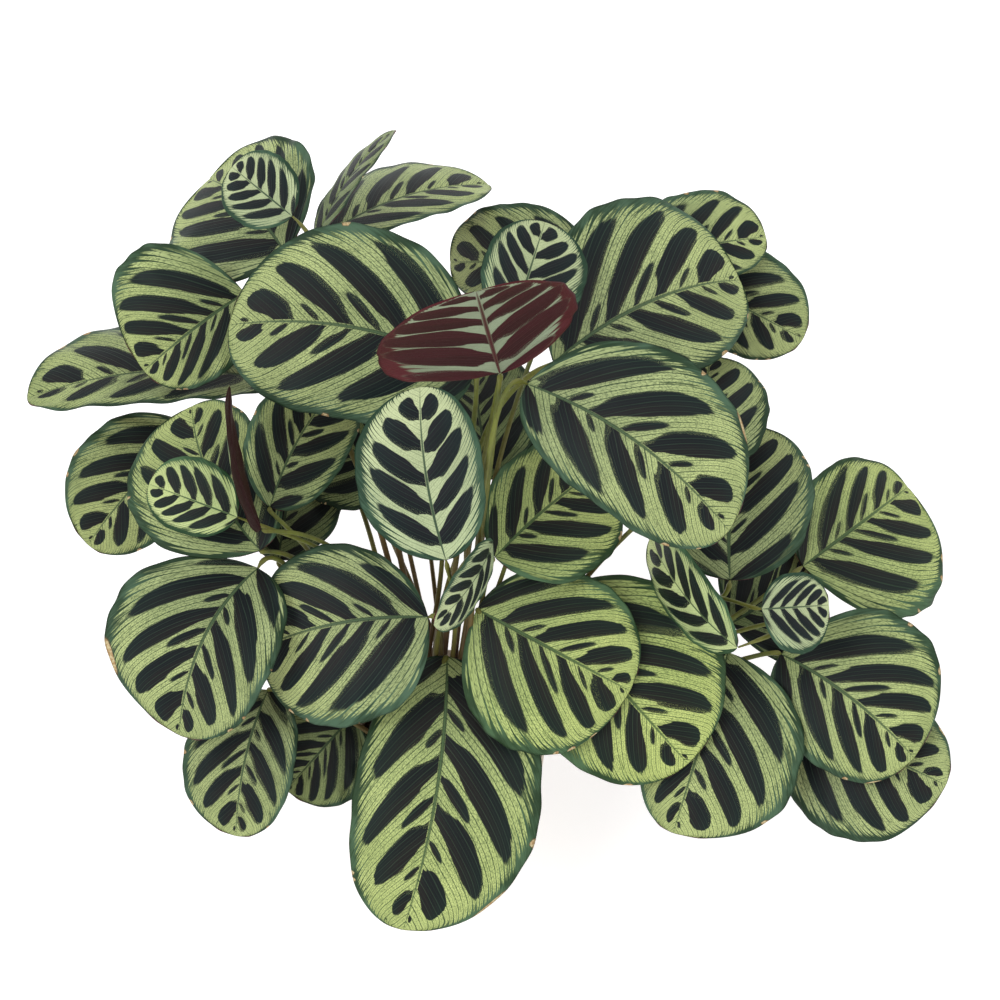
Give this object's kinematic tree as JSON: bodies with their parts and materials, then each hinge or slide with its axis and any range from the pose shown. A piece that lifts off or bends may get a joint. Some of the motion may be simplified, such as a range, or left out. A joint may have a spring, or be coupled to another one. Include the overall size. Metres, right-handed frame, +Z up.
{
  "type": "potted peacock plant",
  "caption": "Peacock plant in a plain round clay pot: broad oval patterned leaves on slender stalks that rise from the soil.",
  "frame": {"origin": "middle of the pot's flat underside", "axes": "+Z up along the pot's axis, -Y towards the side that the plant is seen from, +X to the right of that view"},
  "size_m": [0.5853, 0.4713, 0.5069],
  "materials": {
    "pot_clay": "matte fired clay",
    "soil": "rough crumbly soil",
    "grown_leaf": "satin leaf, dark blotches between pale green stripes, dark margin",
    "young_leaf": "satin young leaf, paler ground; wine red pattern on the underside"
  },
  "bodies": {
    "root": {"pot": "pot_clay", "soil": "soil", "leaf_middle_large": "grown_leaf", "leaf_middle_raised": "young_leaf", "leaf_middle_young": "young_leaf", "leaf_middle_low": "grown_leaf", "leaf_middle_curled": "young_leaf", "leaf_middle_shaded": "grown_leaf", "leaf_middle_back": "grown_leaf", "leaf_middle_top": "young_leaf", "leaf_middle_dark": "grown_leaf", "leaf_backright_large": "grown_leaf", "leaf_backright_far": "grown_leaf", "leaf_backright_low": "grown_leaf", "leaf_backright_outer": "grown_leaf", "leaf_backleft_far": "grown_leaf", "leaf_backleft_young": "young_leaf", "leaf_backleft_edge": "grown_leaf", "leaf_backleft_pointed": "grown_leaf", "leaf_backleft_large": "grown_leaf", "leaf_backleft_outer": "grown_leaf", "leaf_backleft_flat": "grown_leaf", "leaf_left_outer": "grown_leaf", "leaf_left_broad": "grown_leaf", "leaf_left_young": "young_leaf", "leaf_left_edge": "grown_leaf", "leaf_left_inner": "grown_leaf", "leaf_left_shaded": "grown_leaf", "leaf_left_hidden": "grown_leaf", "leaf_frontleft_outer": "grown_leaf", "leaf_frontleft_inner": "grown_leaf", "leaf_frontleft_low": "grown_leaf", "leaf_frontleft_hidden": "grown_leaf", "leaf_front_large": "grown_leaf", "leaf_front_upper": "grown_leaf", "leaf_front_right": "grown_leaf", "leaf_frontright_low": "grown_leaf", "leaf_right_large": "grown_leaf", "leaf_right_low": "grown_leaf", "leaf_right_outer": "grown_leaf", "leaf_right_broad": "grown_leaf", "leaf_right_back": "grown_leaf", "leaf_right_folded": "young_leaf", "leaf_right_young": "young_leaf", "leaf_right_hidden": "grown_leaf"}
  },
  "joints": []
}
